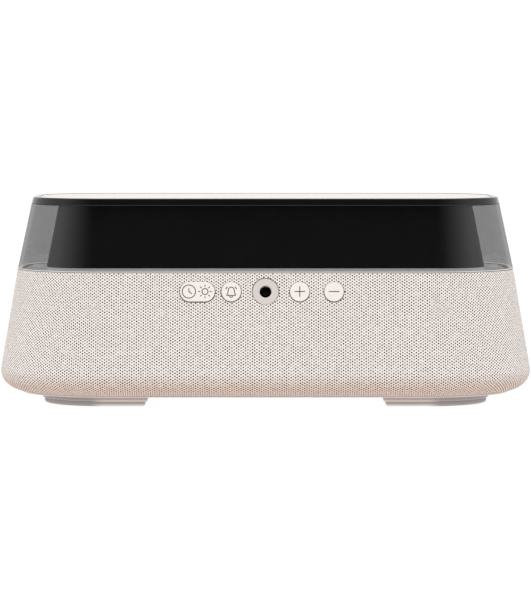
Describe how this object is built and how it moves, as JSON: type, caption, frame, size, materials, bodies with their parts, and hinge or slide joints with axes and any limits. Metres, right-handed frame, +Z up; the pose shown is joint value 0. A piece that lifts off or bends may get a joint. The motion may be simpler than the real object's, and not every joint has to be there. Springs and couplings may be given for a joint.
{
  "type": "smart home hub",
  "caption": "Low bedside smart speaker hub: knit-wrapped base, smoked clock band, pale top pad, sprung control keys and a barrel power inlet.",
  "frame": {"origin": "centre of the underside of the feet, on the surface the hub stands on", "axes": "+X along the width, to the right of someone facing the keys; +Y towards the clock side; +Z up. The control side faces -Y."},
  "size_m": [0.264, 0.128, 0.1021],
  "materials": {
    "shell_plastic": "fine satin moulding",
    "foot_plastic": "satin moulding",
    "foot_rubber": "soft matt silicone",
    "screw_steel": "zinc plated",
    "knit_fabric": "open hexagonal knit",
    "deck_plastic": "satin white moulding",
    "seal_rubber": "matt",
    "smoked_lens": "polished smoked acrylic",
    "black_plastic": "fine matt",
    "black_gloss": "polished",
    "top_plastic": "soft-touch",
    "board": "solder mask",
    "segment_light": "milky light pipe",
    "window_tint": "clear tinted",
    "bezel_plastic": "fine satin",
    "contact_metal": "plated",
    "key_plastic": "soft-touch",
    "box_plastic": "textured",
    "basket_steel": "black paint",
    "ferrite": "sintered",
    "cone_paper": "pressed paper",
    "spider_cloth": "resin-dipped cloth",
    "heat_aluminium": "anodised",
    "ribbon": "flat film",
    "lead_sleeve": "insulation"
  },
  "bodies": {
    "housing": {"base_tray": "shell_plastic", "left_foot_plinth": "foot_plastic", "right_foot_plinth": "foot_plastic", "left_foot_pad": "foot_rubber", "right_foot_pad": "foot_rubber", "foot_screws": "screw_steel", "tray_screws": "screw_steel", "body_shell": "shell_plastic", "fabric_sleeve": "knit_fabric", "mid_deck": "deck_plastic", "deck_screws": "screw_steel", "lens_gasket": "seal_rubber", "smoked_lens": "smoked_lens", "core_spacer": "deck_plastic", "display_core": "black_plastic", "core_screws": "screw_steel", "top_frame": "black_gloss", "frame_screws": "screw_steel", "top_pad": "top_plastic", "display_board": "board", "digit_housing": "black_plastic", "digit_segments": "segment_light", "display_window": "window_tint", "mic_board": "board", "jack_bezel": "bezel_plastic", "jack_nut": "screw_steel", "dc_jack": "black_plastic", "dc_jack_pin": "contact_metal", "key_boards": "board", "key_switches": "black_plastic", "key_board_screws": "screw_steel", "left_speaker_box": "box_plastic", "right_speaker_box": "box_plastic", "speaker_box_backs": "box_plastic", "speaker_box_screws": "screw_steel", "driver_baskets": "basket_steel", "driver_motor_plates": "screw_steel", "driver_magnets": "ferrite", "driver_screws": "screw_steel", "left_surround": "seal_rubber", "right_surround": "seal_rubber", "left_spider": "spider_cloth", "right_spider": "spider_cloth", "main_board": "board", "board_screws": "screw_steel", "board_chips": "black_plastic", "board_capacitors": "black_plastic", "board_connectors": "deck_plastic", "shield_can": "screw_steel", "heat_spreader": "heat_aluminium", "ribbon_cables": "ribbon", "internal_leads": "lead_sleeve"},
    "rocker_key_body": {"rocker_key": "key_plastic"},
    "alarm_key_body": {"alarm_key": "key_plastic"},
    "plus_key_body": {"plus_key": "key_plastic"},
    "minus_key_body": {"minus_key": "key_plastic"},
    "left_cone_body": {"left_cone": "cone_paper", "left_voice_coil": "contact_metal"},
    "right_cone_body": {"right_cone": "cone_paper", "right_voice_coil": "contact_metal"}
  },
  "joints": [
    {"name": "rocker_tilt", "type": "hinge", "parent": "housing", "child": "rocker_key_body", "pos_m": [-0.033, -0.05246, 0.05653], "axis": [0, 0.1704, 0.9854], "range_deg": [-2.5, 2.5], "stiffness_Nm_per_rad": 0.03},
    {"name": "alarm_press", "type": "slide", "parent": "housing", "child": "alarm_key_body", "axis": [0, 0.9854, -0.1704], "range_m": [0, 0.0007], "stiffness_N_per_m": 1200},
    {"name": "plus_press", "type": "slide", "parent": "housing", "child": "plus_key_body", "axis": [0, 0.9854, -0.1704], "range_m": [0, 0.0007], "stiffness_N_per_m": 1200},
    {"name": "minus_press", "type": "slide", "parent": "housing", "child": "minus_key_body", "axis": [0, 0.9854, -0.1704], "range_m": [0, 0.0007], "stiffness_N_per_m": 1200},
    {"name": "left_cone_drive", "type": "slide", "parent": "housing", "child": "left_cone_body", "axis": [0, 1, 0], "range_m": [-0.0012, 0.0012], "stiffness_N_per_m": 900, "deforming": ["left_surround", "left_spider"]},
    {"name": "right_cone_drive", "type": "slide", "parent": "housing", "child": "right_cone_body", "axis": [0, 1, 0], "range_m": [-0.0012, 0.0012], "stiffness_N_per_m": 900, "deforming": ["right_surround", "right_spider"]}
  ]
}
